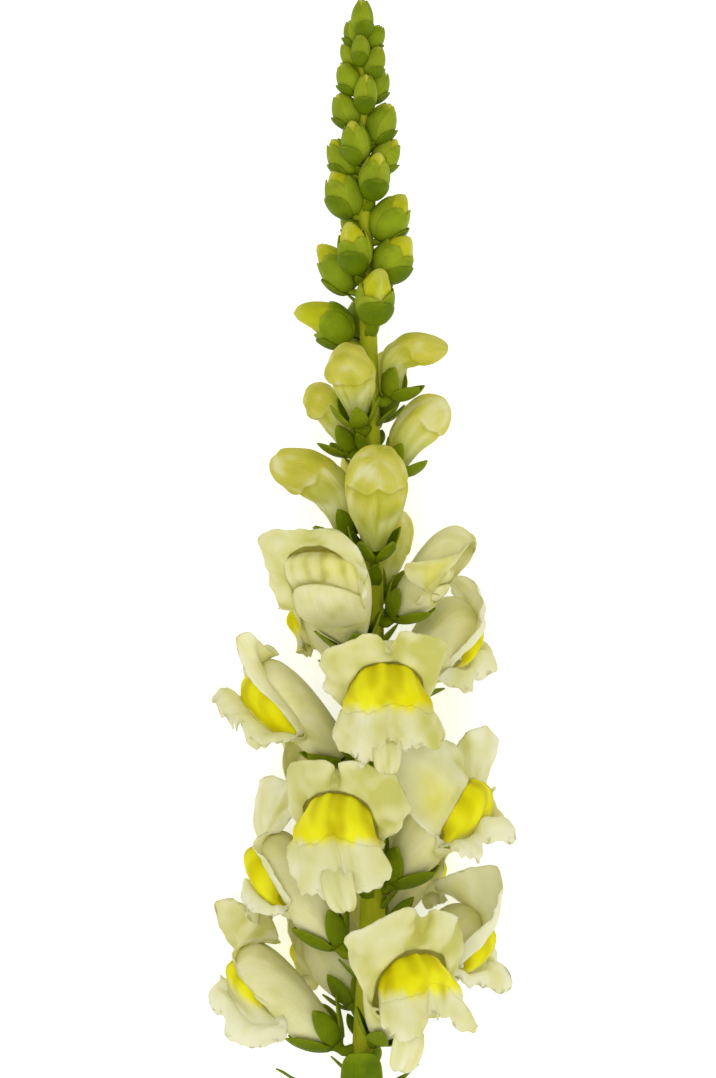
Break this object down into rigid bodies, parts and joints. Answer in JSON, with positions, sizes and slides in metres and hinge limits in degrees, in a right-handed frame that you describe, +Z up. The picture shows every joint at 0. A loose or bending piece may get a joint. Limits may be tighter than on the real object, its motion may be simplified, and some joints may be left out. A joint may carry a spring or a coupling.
{
  "type": "snapdragon stem",
  "caption": "Cut flower stem lying on its side: a spike of two-lipped cream blooms with yellow palates, cream buds, green tip buds, and a leafy lower stem with a cut end.",
  "frame": {"origin": "on the surface that the stem lies on, under the middle of its footprint", "axes": "+Y along the stem from its cut end to its tip, +Z up from the surface, +X to the right seen from above with the tip away from the viewer"},
  "size_m": [0.1102, 0.4506, 0.0649],
  "materials": {
    "green": "satin",
    "cream": "matte",
    "yellow": "matte",
    "bud_cream": "matte",
    "leaf": "satin"
  },
  "bodies": {
    "root": {"stem": "green", "bloom_01": "cream", "bloom_01_palate": "yellow", "bloom_02": "cream", "bloom_02_palate": "yellow", "bloom_03": "cream", "bloom_03_palate": "yellow", "bloom_04": "cream", "bloom_04_palate": "yellow", "bloom_05": "cream", "bloom_05_palate": "yellow", "bloom_06": "cream", "bloom_06_palate": "yellow", "bloom_07": "cream", "bloom_07_palate": "yellow", "bloom_08": "cream", "bloom_08_palate": "yellow", "bloom_09": "cream", "bloom_09_palate": "yellow", "bloom_10": "cream", "bloom_10_palate": "yellow", "bloom_11": "cream", "bloom_11_palate": "yellow", "bloom_12": "cream", "bloom_12_palate": "yellow", "bloom_13": "cream", "bloom_13_palate": "yellow", "bloom_14": "cream", "bloom_14_palate": "yellow", "bloom_15": "cream", "bloom_15_palate": "yellow", "bloom_16": "cream", "bloom_16_palate": "yellow", "bud_01": "bud_cream", "bud_02": "bud_cream", "bud_03": "bud_cream", "bud_04": "bud_cream", "bud_05": "bud_cream", "bud_06": "bud_cream", "bud_07": "bud_cream", "bud_08": "bud_cream", "bud_09": "bud_cream", "leaf_01": "leaf", "leaf_02": "leaf", "leaf_03": "leaf", "leaf_04": "leaf", "leaf_05": "leaf", "leaf_06": "leaf", "leaf_07": "leaf", "leaf_08": "leaf", "leaf_09": "leaf", "leaf_10": "leaf", "leaf_11": "leaf"}
  },
  "joints": []
}
